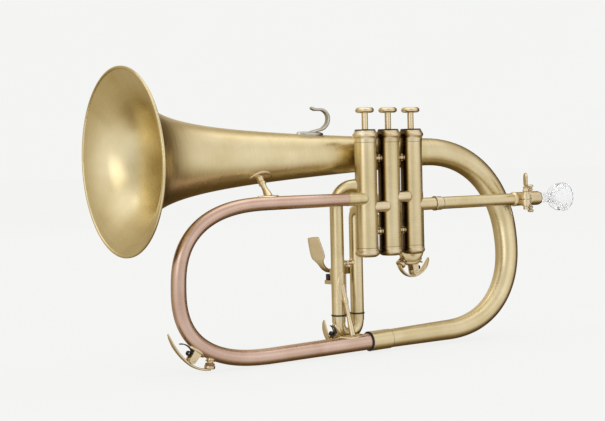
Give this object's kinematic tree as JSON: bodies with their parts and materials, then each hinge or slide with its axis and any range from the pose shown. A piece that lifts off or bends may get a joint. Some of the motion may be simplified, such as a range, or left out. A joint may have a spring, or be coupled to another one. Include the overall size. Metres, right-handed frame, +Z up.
{
  "type": "flugelhorn",
  "caption": "Piston-valve flugelhorn with a wide flared bell, rose-brass crook, hand-triggered slide, water keys and a clear cup mouthpiece.",
  "frame": {"origin": "on the second valve's axis, half way between its two cap joints, at the centre of the valve grip", "axes": "+X towards the mouthpiece, +Y to the player's right, +Z up along the valves"},
  "size_m": [0.4463, 0.152, 0.2457],
  "materials": {
    "bell_brass": "satin brushed lacquered brass, outside of the bell and bow",
    "black_felt": "dense black felt",
    "black_rubber": "soft black rubber",
    "bright_brass": "finely turned brass",
    "casing_brass": "satin brass, turned",
    "clear_acrylic": "clear polished acrylic",
    "cork": "natural cork",
    "nickel_silver": "polished nickel silver",
    "piston_metal": "honed plated piston metal",
    "rose_brass": "satin copper-rich rose brass",
    "spring_steel": "drawn spring wire",
    "tube_brass": "satin brushed brass tubing"
  },
  "bodies": {
    "horn": {"bell": "bell_brass", "bell_rim_wire": "bell_brass", "rear_bow": "bell_brass", "bow_ferrule": "bright_brass", "crook": "rose_brass", "crook_ring": "black_rubber", "crook_sleeve": "tube_brass", "valve_casing_1": "casing_brass", "valve_casing_2": "casing_brass", "valve_casing_3": "casing_brass", "top_caps": "bright_brass", "bottom_caps": "bright_brass", "cap_felts": "black_felt", "valve_knuckles": "bright_brass", "valve_braces": "bright_brass", "valve_spring_1": "spring_steel", "valve_spring_2": "spring_steel", "valve_spring_3": "spring_steel", "leadpipe": "tube_brass", "leadpipe_ferrule": "bright_brass", "clamp_collar": "bright_brass", "first_slide_tubes": "tube_brass", "second_slide_tubes": "tube_brass", "third_slide_tubes": "tube_brass", "third_slide_brace": "bright_brass", "trigger_post": "bright_brass", "trigger_bumper": "black_rubber", "crook_key_saddle": "bright_brass", "bell_brace": "bright_brass", "slide_brace": "bright_brass", "bell_valve_braces": "bright_brass", "finger_hook": "nickel_silver"},
    "valve_1": {"piston_1": "piston_metal", "valve_stem_1": "bright_brass", "finger_button_1": "bright_brass"},
    "valve_2": {"piston_2": "piston_metal", "valve_stem_2": "bright_brass", "finger_button_2": "bright_brass"},
    "valve_3": {"piston_3": "piston_metal", "valve_stem_3": "bright_brass", "finger_button_3": "bright_brass"},
    "first_slide": {"first_slide_legs": "piston_metal", "first_slide_bow": "tube_brass", "first_key_saddle": "bright_brass"},
    "second_slide": {"second_slide": "tube_brass"},
    "third_slide": {"third_slide_legs": "piston_metal", "third_slide_bow": "tube_brass", "third_slide_rings": "black_rubber", "third_key_saddle": "bright_brass", "trigger_link": "bright_brass"},
    "trigger": {"trigger_lever": "bright_brass"},
    "crook_key": {"crook_key_lever": "bright_brass", "crook_key_cork": "cork"},
    "first_key": {"first_key_lever": "bright_brass", "first_key_cork": "cork"},
    "third_key": {"third_key_lever": "bright_brass", "third_key_cork": "cork"},
    "mouthpipe": {"mouthpipe": "bright_brass"},
    "mouthpiece": {"mouthpiece": "clear_acrylic"},
    "clamp_screw": {"clamp_screw": "bright_brass"}
  },
  "joints": [
    {"name": "valve_1_stroke", "type": "slide", "parent": "horn", "child": "valve_1", "axis": [0, 0, -1], "range_m": [0, 0.014], "stiffness_N_per_m": 150, "springref_m": -0.016, "deforming": ["valve_spring_1"]},
    {"name": "valve_2_stroke", "type": "slide", "parent": "horn", "child": "valve_2", "axis": [0, 0, -1], "range_m": [0, 0.014], "stiffness_N_per_m": 150, "springref_m": -0.016, "deforming": ["valve_spring_2"]},
    {"name": "valve_3_stroke", "type": "slide", "parent": "horn", "child": "valve_3", "axis": [0, 0, -1], "range_m": [0, 0.014], "stiffness_N_per_m": 150, "springref_m": -0.016, "deforming": ["valve_spring_3"]},
    {"name": "first_slide_pull", "type": "slide", "parent": "horn", "child": "first_slide", "axis": [0, 0, -1], "range_m": [0, 0.018]},
    {"name": "second_slide_pull", "type": "slide", "parent": "horn", "child": "second_slide", "axis": [0, 1, 0], "range_m": [0, 0.014]},
    {"name": "third_slide_pull", "type": "slide", "parent": "horn", "child": "third_slide", "axis": [0, 0, -1], "range_m": [0, 0.00889], "stiffness_N_per_m": 300, "springref_m": -0.012},
    {"name": "trigger_swing", "type": "hinge", "parent": "horn", "child": "trigger", "pos_m": [-0.03677, 0.02952, -0.066], "axis": [-0.1392, 0.9903, 0], "range_deg": [0, 40]},
    {"name": "crook_key_press", "type": "hinge", "parent": "horn", "child": "crook_key", "pos_m": [-0.1978, 0.0012, -0.1245], "axis": [0, 1, 0], "range_deg": [0, 14], "stiffness_Nm_per_rad": 0.08, "springref_deg": -20.05},
    {"name": "first_key_press", "type": "hinge", "parent": "first_slide", "child": "first_key", "pos_m": [0.03927, 0.01852, -0.07154], "axis": [0.1392, -0.9903, 0], "range_deg": [0, 20], "stiffness_Nm_per_rad": 0.08, "springref_deg": -20.05},
    {"name": "third_key_press", "type": "hinge", "parent": "third_slide", "child": "third_key", "pos_m": [-0.05372, 0.01361, -0.12413], "axis": [-0.1392, 0.9903, 0], "range_deg": [0, 20], "stiffness_Nm_per_rad": 0.08, "springref_deg": -20.05},
    {"name": "mouthpipe_pull", "type": "slide", "parent": "horn", "child": "mouthpipe", "axis": [1, 0, 0], "range_m": [0, 0.012]},
    {"name": "mouthpiece_pull", "type": "slide", "parent": "mouthpipe", "child": "mouthpiece", "axis": [1, 0, 0], "range_m": [0, 0.03]},
    {"name": "clamp_screw_turn", "type": "hinge", "parent": "horn", "child": "clamp_screw", "pos_m": [0.1466, -0.0128, -0.0099], "axis": [0, 0, 1], "range_deg": [-90, 90]}
  ],
  "couplings": [
    {"joint": "trigger_swing", "follows": "third_slide_pull", "rad_per_m": 78.451}
  ]
}
